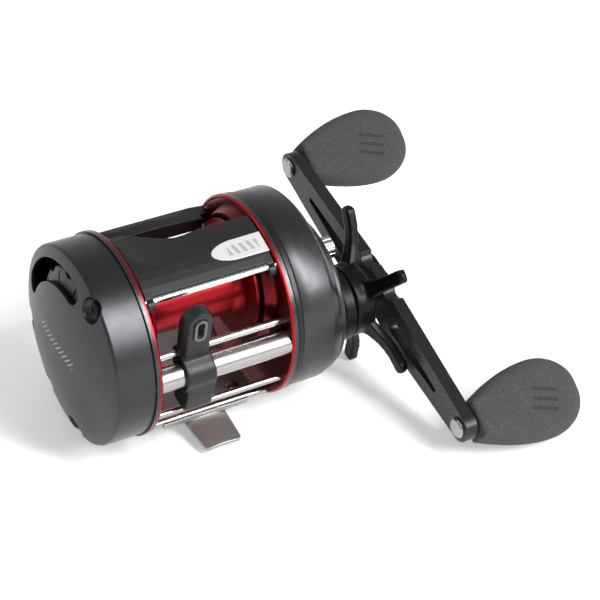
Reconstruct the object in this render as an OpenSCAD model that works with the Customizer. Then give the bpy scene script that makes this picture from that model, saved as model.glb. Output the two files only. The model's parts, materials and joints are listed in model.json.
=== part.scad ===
// Round baitcasting fishing reel with a level wind and a double paddle handle.
// X runs from the palm side (negative) to the handle side, -Y is where the line leaves,
// +Z is up. The origin is on the underside of the foot, midway between the two frame rings.

/* [Frame] */
// Radius of the two round frame rings
ring_r = 31; // [30.8:0.1:31.4]
// Height of the frame's centre above the seat of the foot
centre_z = 25; // [24.9:0.1:25.2]
// Inner face of each frame ring, measured from the middle
ring_in = 21.4; // [21.3:0.05:21.5]
// Thickness of each frame ring
ring_t = 1.6; // [1.5:0.05:1.7]

/* [Side covers] */
// Radius of the barrel of both side covers
cover_r = 30.4; // [30.2:0.1:30.6]
// Wall thickness of the side covers
cover_wall = 1.4; // [1.3:0.05:1.5]
// Outer face of the handle side cover
cover_face = 41.3; // [41.2:0.1:41.4]
// Middle of the domed palm plate
dome_x = 40.1; // [39.9:0.1:40.3]

/* [Spool] */
// Radius of the spool flanges
spool_r = 18; // [17.8:0.05:18.1]
// Radius of the spool arbor that the line is wound on
arbor_r = 10.3; // [10:0.1:10.5]
// Outer face of each spool flange, measured from the middle
flange_x = 17.2; // [17:0.05:17.3]
// Radius of the spool shaft
shaft_r = 1.5; // [1.48:0.01:1.5]

/* [Gears] */
// Module of the main gear and the pinion
gear_module = 0.55; // [0.55:0.01:0.56]
// Teeth on the main gear
main_teeth = 52; // [52:1:52]
// Teeth on the pinion
pinion_teeth = 10; // [10:1:10]
// Module of the level wind gears
wind_module = 0.4; // [0.39:0.005:0.4]
// Teeth on the level wind gear of the drive shaft
wind_drive_teeth = 20; // [20:1:20]
// Teeth on the level wind idler
idler_teeth = 24; // [24:1:24]
// Teeth on the worm's own gear
worm_teeth = 10; // [10:1:10]

/* [Handle] */
// Inner face of the handle arm
arm_x = 59.5; // [59.4:0.1:59.9]
// Thickness of the handle arm
arm_t = 4; // [3.8:0.1:4]
// Distance from the drive shaft to each knob
knob_reach = 53.3; // [52:0.1:54]
// Angle of the handle arm above the horizontal
arm_angle = 9.66; // [9:0.1:11]
// Length of a knob
knob_l = 38; // [37.5:0.5:38.5]

/* [Hidden] */
$fn = 64;
e = 0.02;
// Running fit of a shaft in its bore
run = 0.05;
ring_out = ring_in + ring_t;
gear_plate_x = ring_out;
gear_plate_t = 2.2;
gear_x = gear_plate_x + gear_plate_t;

// Axes that lie along X, as [y, z] from the middle of the rings
spool_axis = [1.5, 7.5];
gear_distance = gear_module * (main_teeth + pinion_teeth) / 2;
drive_y = -12.8;
drive_axis = [drive_y, spool_axis[1] - sqrt(pow(gear_distance, 2) - pow(spool_axis[0] - drive_y, 2))];
worm_axis = [-26.5, 4.3];
guide_axis = [-22.8, 9.5];
wind_near = wind_module * (wind_drive_teeth + idler_teeth) / 2;
wind_far = wind_module * (worm_teeth + idler_teeth) / 2;
idler_axis = apex(drive_axis, worm_axis, wind_near, wind_far);
front_bar = [-26.5, -10.3];
foot_bar = [-19.7, -22.1];
rear_foot_bar = [19.7, -22.1];
rear_bar = [27.2, -6];
hood_bar = [-15.2, 24.9];

// Collars that turn up round the spool flanges
collar_bore = 18.6;
collar_root = 20.9;
collar_tip = 19.4;
collar_x = 18.1;
// Radius inside which the rings carry nothing but the collar
ring_hole = 10.6;

// Stack along the drive shaft
wind_x = gear_x + 0.3;
wind_t = 1.2;
ratchet_x = wind_x + wind_t + 0.2;
ratchet_t = 0.9;
main_x = ratchet_x + ratchet_t + 0.2;
main_t = 3;
drag_r = 12;
drag_x = main_x + 1;
bearing_x = 43.5;
housing_end = 48;
arm_out = arm_x + arm_t;
drive_r = 3.5;

// Stack along the spool shaft
pin_x = 23.1;
pinion_x = 22.4;
pinion_hub_r = 2.9;
groove_x = 33.4;

// Brake in the palm plate
dial_x = 34.2;
magnet_x = 30.2;

// Foot
foot_l = 64;
foot_t = 1.6;
arch_r = 24;
arch_rise = 0.88;
blade_t = 1;

// ---- helpers ----

// Point at distance ra from a and rb from b, on the upper side of the line between them
function apex(a, b, ra, rb) =
  let (d = norm(b - a), u = (b - a) / d, s = (d * d + ra * ra - rb * rb) / (2 * d))
  a + u * s - [u[1], -u[0]] * sqrt(ra * ra - s * s);

function heading(a, b) = atan2(b[1] - a[1], b[0] - a[0]);

function polar(r, angle) = [r * cos(angle), r * sin(angle)];

// A place on the frame's rim: angle measured up from the front
function rim(r, angle) = [-r * cos(angle), r * sin(angle)];

// Child drawn in the YZ plane about an axis, and standing along +X from x0
module along_x(x0, axis = [0, 0]) {
  translate([x0, axis[0], centre_z + axis[1]])
    rotate([90, 0, 90])
      children();
}

// Profile of [radius, x] points turned about an axis that lies along X
module turned(axis, points) {
  translate([0, axis[0], centre_z + axis[1]])
    rotate([90, 0, 90])
      rotate_extrude()
        polygon(points);
}

module rod(r, x0, x1, axis = [0, 0]) {
  along_x(x0, axis)
    cylinder(r = r, h = x1 - x0);
}

module tube(r_out, r_in, x0, x1, axis = [0, 0]) {
  difference() {
    rod(r_out, x0, x1, axis);
    rod(r_in, x0 - 1, x1 + 1, axis);
  }
}

// Flank of a gear tooth: half its angle at radius r, for a 25 degree involute
pressure = 25;
function involute(a) = tan(a) * 180 / PI - a;
function half_tooth(m, n, r, slack) =
  let (rp = m * n / 2, rb = rp * cos(pressure), rr = max(r, rb))
  90 / n - slack / rp * 180 / PI + involute(pressure) - involute(acos(rb / rr));

// Outline of a spur gear with a tooth on the +x side, turned by phase
module gear_outline(m, n, phase = 0, slack = 0.05) {
  rp = m * n / 2;
  root = rp - 1.15 * m;
  tip = rp + 0.8 * m;
  flank = [for (k = [0:3]) max(root, rp * cos(pressure)) + (tip - max(root, rp * cos(pressure))) * k / 3];
  points = [
    for (t = [0:n - 1]) each concat(
      [polar(root, phase + 360 * t / n - half_tooth(m, n, flank[0], slack))],
      [for (r = flank) polar(r, phase + 360 * t / n - half_tooth(m, n, r, slack))],
      [for (k = [3:-1:0]) polar(flank[k], phase + 360 * t / n + half_tooth(m, n, flank[k], slack))],
      [polar(root, phase + 360 * t / n + half_tooth(m, n, flank[0], slack))]
    )
  ];
  polygon(points);
}

// Angle at which the second gear's teeth stand when the first has a tooth at phase_a
function meshed(a, b, na, nb, phase_a) =
  let (line = heading(a, b), lag = line - phase_a)
  line + 180 + (lag * na + 180) / nb;

main_phase = heading(drive_axis, spool_axis);
pinion_phase = meshed(drive_axis, spool_axis, main_teeth, pinion_teeth, main_phase);
wind_phase = heading(drive_axis, idler_axis);
idler_phase = meshed(drive_axis, idler_axis, wind_drive_teeth, idler_teeth, wind_phase);
worm_phase = meshed(idler_axis, worm_axis, idler_teeth, worm_teeth, idler_phase);

// Rounded bar outline from a to b
module slot2d(a, b, r) {
  hull() {
    translate(a) circle(r = r, $fn = 32);
    translate(b) circle(r = r, $fn = 32);
  }
}

// ---- frame ----

bar_seats = [
  [guide_axis, 1.25], [front_bar, 1], [foot_bar, 1.2], [rear_foot_bar, 1.2],
  [rear_bar, 1.25], [hood_bar, 1.1]
];

// Front and rear of the thumb bar, and the height of its top
thumb_y = [21, 26.8];
thumb_top = 14;

// A frame ring: side is -1 on the palm side and 1 on the handle side
module ring_body(side) {
  difference() {
    union() {
      turned([0, 0], [
        [ring_hole, side * ring_in], [ring_r - 1.1, side * ring_in],
        [ring_r - 0.8, side * (ring_in - 0.4)], [ring_r - 0.4, side * (ring_in - 0.4)],
        [ring_r, side * ring_in], [ring_r, side * ring_out], [ring_hole, side * ring_out]
      ]);
      turned(spool_axis, [
        [collar_bore, side * collar_x], [collar_tip, side * collar_x],
        [collar_root, side * (ring_in - 0.3)], [collar_root, side * ring_out],
        [collar_bore, side * ring_out]
      ]);
      rod(collar_bore + 1, side > 0 ? ring_in : -ring_out, side > 0 ? ring_out : -ring_in, spool_axis);
    }
    rod(collar_bore, -60, 60, spool_axis);
    for (seat = bar_seats)
      rod(seat[1] + e, -60, 60, seat[0]);
    rod(3.75 + e, -60, 60, worm_axis);
    thumb_slot();
  }
}

// Way for the thumb bar's tongues, cut through both rings and the gear plate
module thumb_slot() {
  translate([-60, thumb_y[0] + 1.7, centre_z + thumb_top - 9.4])
    cube([120, 3.4, 9]);
}

module left_ring() {
  color("#a51d24")
    ring_body(-1);
}

module right_ring() {
  color("#a51d24")
    ring_body(1);
}

module gear_plate() {
  color("#3d3d40")
    difference() {
      union() {
        turned([0, 0], [
          [0, gear_plate_x], [ring_r - 0.6, gear_plate_x], [ring_r - 0.2, gear_plate_x + 0.4],
          [ring_r - 0.2, gear_x - 0.4], [ring_r - 0.6, gear_x], [0, gear_x]
        ]);
        rod(1.2, gear_x - 1, wind_x + wind_t + 0.1, idler_axis);
        for (post = yoke_posts)
          rod(1, gear_x - 1, 38.5, post);
      }
      rod(5, 10, gear_x + 1, spool_axis);
      rod(2.5 + run, 10, gear_x + 1, drive_axis);
      rod(1.1 + run, 10, gear_x + 1, worm_axis);
      thumb_slot();
      for (a = cover_screw_angles)
        rod(0.95, 10, 60, polar(cover_screw_r, a));
    }
}

cover_screw_angles = [-8, 112, 290];
cover_screw_r = 27.5;
post_offset = 6;
post_way = [drive_axis[1] - spool_axis[1], spool_axis[0] - drive_axis[0]] / gear_distance;
yoke_posts = [spool_axis + post_way * post_offset, spool_axis - post_way * post_offset];

// The cap of the gear cover is round too, but its middle is nearer the drive shaft
cap_axis = [-4, -1.4];
cap_r = 25.1;
barrel_x = 36.4;
cap_x = 39.1;

// Smooth shoulder from the barrel to the smaller cap
module shoulder() {
  sides = 120;
  hull() {
    along_x(barrel_x - 1)
      cylinder(r = cover_r - 0.1, h = 1, $fn = sides);
    along_x(barrel_x + 1.6, cap_axis * 0.42)
      cylinder(r = cover_r - 1.9, h = 0.1, $fn = sides);
    along_x(cap_x - 0.1, cap_axis)
      cylinder(r = cap_r, h = 0.1, $fn = sides);
  }
}

module gear_cover() {
  groove = 0.35;
  ridge = 0.9;
  color("#47474a")
    difference() {
      union() {
        rod(cover_r, gear_x, barrel_x);
        shoulder();
        turned(cap_axis, concat(
          [[0, cap_x - 2], [cap_r - groove, cap_x - 2]],
          [for (k = [0:6]) [
            cap_r - groove - ridge * (1 - cos(k * 15)),
            cover_face - ridge * (1 - sin(k * 15))
          ]],
          [[0, cover_face]]
        ));
        rod(4.4, cover_face - 1, 44.2, spool_axis);
        rod(2.7, cover_face - 1, 47.9, spool_axis);
      }
      difference() {
        union() {
          rod(cover_r - cover_wall, gear_x - 1, barrel_x - 1.4);
          rod(cap_r - 2.2, gear_x, cap_x - 1.5, cap_axis);
          rod(cap_r - 5, gear_x, cover_face - 1.6, cap_axis);
        }
        rod(7.6, 35, 60, drive_axis);
        rod(4.4, 39, 60, spool_axis);
        for (a = cover_screw_angles)
          rod(2.8, gear_x - 2, barrel_x - 1, polar(cover_screw_r, a));
      }
      rod(6, 10, 60, drive_axis);
      rod(2.95, 10, 42.6, spool_axis);
      rod(1.7, 10, 60, spool_axis);
      rod(2.7, 10, wind_x + wind_t + 0.5, worm_axis);
      for (a = cover_screw_angles) {
        rod(0.95, 10, 60, polar(cover_screw_r, a));
        rod(2.2, barrel_x - 1.6, 60, polar(cover_screw_r, a));
      }
    }
}

// Dome of the palm plate: radius of the sphere and x of the surface at radius r
dome_r = 92.5;
function dome(r, inset = 0) = -dome_x + dome_r - sqrt(pow(dome_r, 2) - r * r) + inset;

screw_places = [[27.8, 115.6], [28, 255], [27, 294], [27.3, 337]];
// Crescent window over the brake dial
window_start = 13;
window_end = 99;

module palm_plate() {
  inner_r = cover_r - cover_wall;
  color("#47474a")
    difference() {
      union() {
        difference() {
          turned([0, 0], concat(
            [[0, -ring_out], [cover_r, -ring_out], [cover_r, dome(29.6) + 1]],
            [[cover_r - 0.25, dome(29.6) + 0.3]],
            [for (k = [0:8]) [29.6 * (1 - k / 8), dome(29.6 * (1 - k / 8))]]
          ));
          turned([0, 0], concat(
            [[0, -ring_out + 1], [inner_r, -ring_out + 1]],
            [for (k = [0:8]) [inner_r * (1 - k / 8), dome(inner_r * (1 - k / 8), cover_wall)]]
          ));
        }
        for (p = screw_places)
          intersection() {
            rod(4.2, -dome_x, -ring_out, polar(p[0] - 0.4, p[1]));
            turned([0, 0], concat(
              [[0, -ring_out], [cover_r - 0.4, -ring_out]],
              [for (k = [0:8]) [(cover_r - 0.4) * (1 - k / 8), dome((cover_r - 0.4) * (1 - k / 8), 0.4)]]
            ));
          }
        rod(6.5, -dome_x + 1.2, -27.2, spool_axis);
      }
      for (p = screw_places) {
        translate([-36.9, polar(p[0], p[1])[0], centre_z + polar(p[0], p[1])[1]])
          sphere(r = 4.1);
        rod(1.05, -60, 0, polar(p[0] - 0.6, p[1]));
        rod(2.15, -60, -33.2, polar(p[0] - 0.6, p[1]));
      }
      rod(5, -37, -20, spool_axis);
      along_x(-60)
        linear_extrude(height = 60 - 33.6)
          window_outline();
    }
}

module window_outline() {
  steps = 16;
  polygon(concat(
    [for (k = [0:steps]) polar(26.8, window_start + 3 + (window_end - window_start - 6) * k / steps)],
    [for (k = [1:5]) polar(23.4 + 3.4 * cos(k * 30), window_end - 3 + 8 * sin(k * 30))],
    [for (k = [0:steps]) polar(20, window_end - 3 - (window_end - window_start - 6) * k / steps)],
    [for (k = [1:5]) polar(23.4 - 3.4 * cos(k * 30), window_start + 3 - 8 * sin(k * 30))]
  ));
}

module screw(x_head, x_tip, head_r, shank_r, axis) {
  way = x_tip > x_head ? 1 : -1;
  difference() {
    turned(axis, [
      [0, x_head - way * 0.5], [head_r * 0.6, x_head - way * 0.4], [head_r * 0.92, x_head],
      [head_r, x_head + way * 0.5], [head_r, x_head + way * 1.4], [shank_r, x_head + way * 1.4],
      [shank_r, x_tip], [0, x_tip]
    ]);
    for (a = [0, 90])
      translate([x_head - way * 0.5, axis[0], centre_z + axis[1]])
        rotate([a, 0, 0])
          cube([1.6, head_r * 1.3, 0.55], center = true);
  }
}

module palm_plate_screws() {
  color("#151516")
    for (p = screw_places)
      screw(-34.6, -24.5, 2.1, 1.05, polar(p[0] - 0.6, p[1]));
}

module cover_screws() {
  color("#151516")
    for (a = cover_screw_angles)
      screw(barrel_x - 0.2, gear_x - 2, 2.1, 0.95, polar(cover_screw_r, a));
}

// Housing of the one-way bearing, round the drive shaft outside the cover
module bearing_housing() {
  color("#1b1b1d")
    turned(drive_axis, [
      [6, cover_face], [11.2, cover_face], [11.2, cover_face + 2.9], [11.5, cover_face + 3.2],
      [11.5, housing_end - 0.4], [11.1, housing_end], [4.2, housing_end], [4.2, bearing_x], [6, bearing_x]
    ]);
}

module guide_bar() {
  color("#c9c7c3")
    rod(1.25, -ring_out, ring_out, guide_axis);
}

module worm_tube() {
  color("#c9c7c3")
    difference() {
      rod(3.75, -ring_out, ring_out, worm_axis);
      rod(2.65, -ring_out + 1, ring_out + 1, worm_axis);
      rod(1.2, -60, 0, worm_axis);
      translate([-16.8, worm_axis[0] - 1.5, centre_z + worm_axis[1] - 6])
        cube([33.6, 3, 5]);
    }
}

module tube_bush() {
  color("#151516")
    along_x(ring_in - 2.4)
      linear_extrude(height = 2.4)
        difference() {
          slot2d(guide_axis + [0.4, -2.9], guide_axis + [1.4, -5.2], 1.2);
          translate(worm_axis) circle(r = 3.75 + e);
          translate(guide_axis) circle(r = 1.25 + e);
        }
}

module front_bar() {
  color("#c9c7c3")
    rod(1, -ring_out, ring_out, front_bar);
}

module foot_bars() {
  color("#c9c7c3")
    for (axis = [foot_bar, rear_foot_bar])
      rod(1.2, -ring_out, ring_out, axis);
}

module rear_bar() {
  color("#c9c7c3")
    rod(1.25, -ring_out, ring_out, rear_bar);
}

module hood_bar() {
  color("#d8d8d8")
    rod(1.1, -ring_out, ring_out, hood_bar);
}

// ---- foot ----

foot_tip = -33.4;

// Half width of the foot at a distance y along the rod
function foot_half(y) =
  let (far = (abs(y + 1.4) - 12) / 20)
  far < 0 ? 6.85 : 6.85 - 0.85 * far;

module foot_outline() {
  y1 = foot_tip + foot_l;
  hull() {
    for (s = [-1, 1]) {
      translate([s * (foot_half(foot_tip) - 1.5), foot_tip + 1.5]) circle(r = 1.5, $fn = 32);
      translate([s * (foot_half(y1) - 1.5), y1 - 1.5]) circle(r = 1.5, $fn = 32);
      translate([s * 6.4, -18]) circle(r = 0.45, $fn = 32);
      translate([s * 6.4, 15]) circle(r = 0.45, $fn = 32);
    }
  }
}

// Saddle that spreads from the foot to both rings
module saddle_outline() {
  polygon([
    [-18.4, -17.6], [-13.6, -20.3], [13.6, -20.3], [18.4, -17.6],
    [18.4, 17.6], [13.6, 20.3], [-13.6, 20.3], [-18.4, 17.6]
  ]);
}

rivet_places = [[-13, -14], [13, -14], [-13, 14], [13, 14]];

module reel_foot() {
  color("#cfcac4")
    difference() {
      union() {
        // Arched blades that fit over a round rod seat
        intersection() {
          linear_extrude(height = 9)
            foot_outline();
          translate([0, foot_tip - 1, arch_rise - arch_r])
            rotate([-90, 0, 0])
              difference() {
                cylinder(r = arch_r + blade_t, h = foot_l + 2);
                translate([0, 0, -1])
                  cylinder(r = arch_r, h = foot_l + 4);
              }
        }
        // Flat seat in the middle
        translate([-6.5, -13, 0])
          cube([13, 26, foot_t]);
        translate([0, 0, foot_t - 0.4])
          linear_extrude(height = 1)
            saddle_outline();
        for (axis = [foot_bar, rear_foot_bar])
          translate([-14, axis[0] - 1.8, foot_t])
            cube([28, 3.6, centre_z + axis[1] - foot_t + 0.6]);
      }
      for (axis = [foot_bar, rear_foot_bar])
        rod(1.2 + e, -60, 60, axis);
      for (p = rivet_places)
        translate([p[0], p[1], -1])
          cylinder(r = 1.1, h = 20);
    }
}

module foot_rivets() {
  color("#b9b5ae")
    for (p = rivet_places)
      translate([p[0], p[1], foot_t - 0.4])
        rotate_extrude()
          polygon([[0, -0.5], [1.9, -0.5], [1.9, 0], [1.1, 0], [1.1, 1], [2, 1], [1.6, 1.6], [0, 1.9]]);
}

// ---- thumb rest and clutch bar ----

hood_r = 30.2;
hood_half = 20.6;
hood_front = 60.5;
hood_rear = 93;
hood_rear_palm = 108;

module hood_section(a0, a1, r_out, r_in) {
  steps = 10;
  polygon(concat(
    [for (k = [0:steps]) rim(r_out, a0 + (a1 - a0) * k / steps)],
    [for (k = [steps:-1:0]) rim(r_in, a0 + (a1 - a0) * k / steps)]
  ));
}

// How far back the hood reaches at x: further on the palm side, where the thumb lies
function hood_back(x) =
  let (t = min(1, max(0, (x + 19) / 18)))
  2 + 7 * (1 - t * t * (3 - 2 * t));

dish_depth = 1.3;
dish_r = 56;
dish_x = -8;
dish_angle = 92;

module thumb_rest() {
  steps = 14;
  color("#202022")
    difference() {
      union() {
        intersection() {
          along_x(-hood_half)
            linear_extrude(height = 2 * hood_half)
              hood_section(hood_front, hood_rear_palm, hood_r, 26.4);
          // Plan of the hood, with its rear edge swung back on the palm side
          translate([0, 0, centre_z])
            linear_extrude(height = 40)
              polygon(concat(
                [[hood_half, -30], [-hood_half, -30]],
                [for (k = [0:steps]) [
                  hood_half * (2 * k / steps - 1),
                  hood_back(hood_half * (2 * k / steps - 1))
                ]]
              ));
        }
        for (s = [-1, 1])
          along_x(s > 0 ? hood_half - 2.2 : -hood_half)
            linear_extrude(height = 2.2)
              slot2d(rim(28.4, 57), rim(28.2, 66), 2);
      }
      rod(1.1 + e, -60, 60, hood_bar);
      // Room for the collars
      for (x = [-60, 17.9])
        rod(collar_root + 0.15, x, x + 42.1, spool_axis);
      // Shallow dish for the thumb
      translate([dish_x, 0, centre_z])
        rotate([90 - dish_angle, 0, 0])
          translate([0, 0, hood_r - dish_depth + dish_r])
            rotate([90, 0, 0])
              cylinder(r = dish_r, h = 40, center = true);
      turned_badge(0.4, 0.02);
    }
}

// Outline of the badge unrolled on the hood: x along the reel, y as an angle
badge_x = [3.3, 20.7];
badge_mid = 73.3;

module turned_badge(thick, gap) {
  mid = rim(hood_r - 0.75, badge_mid);
  translate([0, mid[0], centre_z + mid[1]])
    rotate([90 - badge_mid, 0, 0])
      linear_extrude(height = thick + 0.45)
        polygon(concat(
          [[badge_x[1] + gap, -3.4 - gap], [badge_x[1] - 0.2 + gap, 3.4 + gap]],
          [for (k = [1:11]) [
            12.2 - (12.2 - badge_x[0] + gap) * sin(k * 15),
            (3.4 + gap) * cos(k * 15)
          ]]
        ));
}

module badge() {
  color("#dcdcdc")
    turned_badge(0.5, -0.06);
}

module thumb_bar() {
  color("#1d1d1f")
    difference() {
      union() {
        translate([0, thumb_y[0], centre_z])
          rotate([-90, 0, 0])
            linear_extrude(height = thumb_y[1] - thumb_y[0])
              polygon(concat(
                [[20.7, -thumb_top + 3.6], [20.7, -thumb_top]],
                [for (k = [1:11]) [20.7 - 41.4 * k / 12, -thumb_top - 1.7 * sin(k * 15)]],
                [[-20.7, -thumb_top], [-20.7, -thumb_top + 3.6]]
              ));
        translate([-22.6, thumb_y[0] + 2, centre_z + thumb_top - 3.4])
          cube([22.6 + 27.2, 2.6, 2.4]);
      }
      // Ends cut back to clear the collars
      for (s = [-1, 1])
        translate([s > 0 ? 17.7 : -40, thumb_y[0] - 1, centre_z])
          cube([22.3, 2.9, 30]);
      // Slope of the top face towards the rear
      translate([-30, thumb_y[0] + 3.5, centre_z + thumb_top + 1.2])
        rotate([-14, 0, 0])
          cube([60, 20, 10]);
    }
}

// ---- spool ----

module spool() {
  fillet = 3.4;
  inner = flange_x - 0.9;
  color("#b0222a")
    turned(spool_axis, concat(
      [[spool_r, flange_x], [spool_r, inner]],
      [for (k = [0:6]) [arbor_r + fillet * (1 - cos(90 - k * 15)), inner - fillet * (1 - sin(90 - k * 15))]],
      [for (k = [6:-1:0]) [arbor_r + fillet * (1 - cos(90 - k * 15)), -inner + fillet * (1 - sin(90 - k * 15))]],
      [[spool_r, -inner], [spool_r, -flange_x]],
      [[arbor_r + 3, -flange_x], [arbor_r - 1.5, -flange_x + 3], [4.2, -flange_x + 3.6]],
      [[4.2, -flange_x - 2], [shaft_r, -flange_x - 2], [shaft_r, flange_x + 2]],
      [[4.2, flange_x + 2], [4.2, flange_x - 3.6], [arbor_r - 1.5, flange_x - 3], [arbor_r + 3, flange_x]]
    ));
}

module spool_shaft() {
  color("#d0d0d0")
    difference() {
      rod(shaft_r, -31, 44.8, spool_axis);
      translate([pin_x, spool_axis[0], centre_z + spool_axis[1]])
        cylinder(r = 0.5, h = 10, center = true);
    }
}

module drive_pin() {
  color("#9a9a9a")
    translate([pin_x, spool_axis[0], centre_z + spool_axis[1]])
      cylinder(r = 0.5, h = 5.2, center = true);
}

module brake_rotor() {
  color("#b9babc")
    turned(spool_axis, [
      [shaft_r, -27], [3, -27], [3, -26.6], [13.5, -26.6], [13.5, -25.8], [3, -25.8],
      [3, -20.4], [shaft_r, -20.4]
    ]);
}

module ball_bearing(x0, x1, r_out, r_in) {
  mid = (r_out + r_in) / 2;
  turned(spool_axis, [
    [r_in, x0], [mid - 0.35, x0], [mid - 0.35, x0 + 0.3], [mid + 0.35, x0 + 0.3], [mid + 0.35, x0],
    [r_out, x0], [r_out, x1], [mid + 0.35, x1], [mid + 0.35, x1 - 0.3], [mid - 0.35, x1 - 0.3],
    [mid - 0.35, x1], [r_in, x1]
  ]);
}

module spool_bearings() {
  color("#c4c4c4") {
    ball_bearing(-31.2, -27.6, 5, shaft_r + run);
    ball_bearing(40, 42.6, 2.95, shaft_r + run);
  }
}

// ---- brake ----

module brake_dial() {
  flutes = 9;
  bore = 6.5 + run;
  color("#18181a")
    difference() {
      turned(spool_axis, [
        [bore, -36.6], [10, -36.6], [14, -35.7], [16.6, -35], [17.1, -34.6], [17.1, -32.2],
        [16.2, -31.2], [bore, -31.2]
      ]);
      for (k = [0:flutes - 1])
        rod(2.6, -40, -30, spool_axis + polar(18.4, k * 360 / flutes));
      // Grooves in the face, halfway between the flutes
      for (k = [0:flutes - 1])
        along_x(-37, spool_axis)
          rotate((k + 0.5) * 360 / flutes)
            translate([12.2, -0.3, 0])
              cube([6, 0.6, 1.9]);
    }
}

module magnet_carrier() {
  color("#d8d6d0")
    along_x(-magnet_x, spool_axis)
      difference() {
        cylinder(r = 14, h = 2);
        translate([0, 0, -1])
          cylinder(r = 6.5 + run, h = 9);
        for (k = [0:7])
          translate(concat(polar(11, k * 45), [0.8]))
            cylinder(r = 1.8, h = 9);
      }
}

module brake_magnets() {
  color("#8a8c90")
    for (k = [0:7])
      rod(1.8, -magnet_x + 0.8, -magnet_x + 2.2, spool_axis + polar(11, k * 45));
}

// ---- tension knob ----

module tension_knob() {
  color("#d9d9dc")
    along_x(0, spool_axis)
      difference() {
        translate([0, 0, 45.3])
          union() {
            cylinder(r = 3.1, h = 6.8);
            translate([0, 0, 1.6])
              linear_extrude(height = 5)
                difference() {
                  circle(r = 3.6);
                  for (a = [0:24:359])
                    translate(polar(3.85, a)) circle(r = 0.45, $fn = 24);
                }
            translate([0, 0, 6.5])
              cylinder(r1 = 3.1, r2 = 2.6, h = 0.5);
          }
        difference() {
          translate([0, 0, 40])
            cylinder(r = 2.7 + run, h = 8.3);
          translate([0, 0, 45.35])
            cylinder(r = 1.6, h = 8);
        }
      }
}

module tension_shim() {
  color("#c98b3c")
    rod(1.35, 44.85, 45.3, spool_axis);
}

// ---- clutch ----

module pinion() {
  color("#c9a24a")
    along_x(0, spool_axis)
      difference() {
        union() {
          translate([0, 0, pinion_x])
            cylinder(r = pinion_hub_r, h = 3.8);
          translate([0, 0, pinion_x + 3.7])
            linear_extrude(height = 7)
              gear_outline(gear_module, pinion_teeth, pinion_phase);
          translate([0, 0, pinion_x + 10.6])
            cylinder(r = 2.1, h = 2.6);
          translate([0, 0, groove_x + 1.3])
            cylinder(r = 2.9, h = 1.2);
          translate([0, 0, groove_x - 0.7])
            cylinder(r = 2.9, h = 0.5);
        }
        translate([0, 0, pinion_x - 1])
          cylinder(r = shaft_r + run, h = 20);
        translate([0, 0, pinion_x + 0.2])
          cube([1.12, 9, 3], center = true);
        translate([0, 0, pinion_x + 0.2])
          cube([9, 1.12, 3], center = true);
      }
}

module pinion_bearing() {
  color("#c4c4c4")
    ball_bearing(gear_plate_x, gear_x, 5, pinion_hub_r + run);
}

module clutch_yoke() {
  color("#b8b9bd")
    along_x(groove_x)
      linear_extrude(height = 1.1)
        difference() {
          hull() {
            for (post = yoke_posts)
              translate(post) circle(r = 2.2, $fn = 32);
            translate(spool_axis) circle(r = 3.8, $fn = 32);
          }
          translate(spool_axis) circle(r = 2.25);
          translate(spool_axis)
            rotate(heading(drive_axis, spool_axis))
              translate([0, -2.25])
                square([6, 4.5]);
          for (post = yoke_posts)
            translate(post) circle(r = 1 + run);
        }
}

// Springs on the yoke's posts, drawn at the length they have with the clutch open
module clutch_springs() {
  color("#a7a7a7")
    for (post = yoke_posts)
      turned(post, concat(
        [for (k = [0:6]) [1.7 + (k % 2) * 0.4, 36.3 + k * 0.35]],
        [for (k = [6:-1:0]) [1.15 + (k % 2) * 0.4, 36.3 + k * 0.35]]
      ));
}

module clutch_cam() {
  color("#c6c1b2")
    difference() {
      along_x(gear_x + 0.2)
        linear_extrude(height = 1)
          polygon([[20.5, 6.5], [24.8, 8.4], [24.8, 13.2], [20.5, 13.2], [14.5, 8.6], [12.4, 5.4], [15.5, 5.4]]);
      translate([10, thumb_y[0] + 2 - e, centre_z + thumb_top - 3.4 - e])
        cube([20, 2.6 + 2 * e, 2.4 + 2 * e]);
    }
}

// ---- drive ----

module drive_shaft() {
  color("#bfc0c2")
    difference() {
      turned(drive_axis, [
        [0, gear_plate_x + 0.2], [2.5, gear_plate_x + 0.2], [2.5, gear_x + 0.1], [drive_r, gear_x + 0.1],
        [drive_r, arm_x - 0.2], [3.3, arm_x - 0.2], [3.3, arm_out], [2.8, arm_out], [2.8, arm_out + 3],
        [2.5, arm_out + 3.3], [0, arm_out + 3.3]
      ]);
      for (s = [-1, 1])
        translate([arm_x - 0.2, drive_axis[0], centre_z + drive_axis[1]])
          rotate([arm_angle, 0, 0])
            translate([0, -5, s > 0 ? 2.6 : -12.6])
              cube([arm_t + 0.2, 10, 10]);
    }
}

module ratchet_wheel() {
  teeth = 16;
  color("#a9abae")
    along_x(ratchet_x, drive_axis)
      linear_extrude(height = ratchet_t)
        difference() {
          polygon([for (k = [0:teeth - 1]) each [polar(6.6, 360 * k / teeth), polar(5.6, 360 * (k + 0.85) / teeth)]]);
          circle(r = drive_r);
        }
}

module main_gear() {
  color("#c9a24a")
    along_x(main_x, drive_axis)
      difference() {
        linear_extrude(height = main_t)
          gear_outline(gear_module, main_teeth, main_phase);
        translate([0, 0, -1])
          cylinder(r = drive_r, h = 9);
        translate([0, 0, 1])
          cylinder(r = drag_r, h = 9);
      }
}

// Alternate friction discs and metal discs in the main gear's cup
module drag_washers() {
  color("#3a3a3a")
    for (k = [0:2])
      tube(drag_r - 0.2, drive_r + 0.1, drag_x + k * 0.8, drag_x + k * 0.8 + 0.5, drive_axis);
}

module drag_plate() {
  color("#b8babd") {
    for (k = [0:1])
      tube(drag_r - 0.4, drive_r, drag_x + 0.5 + k * 0.8, drag_x + 0.8 + k * 0.8, drive_axis);
    tube(drag_r - 0.4, drive_r, drag_x + 2.1, drag_x + 2.9, drive_axis);
  }
}

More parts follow.
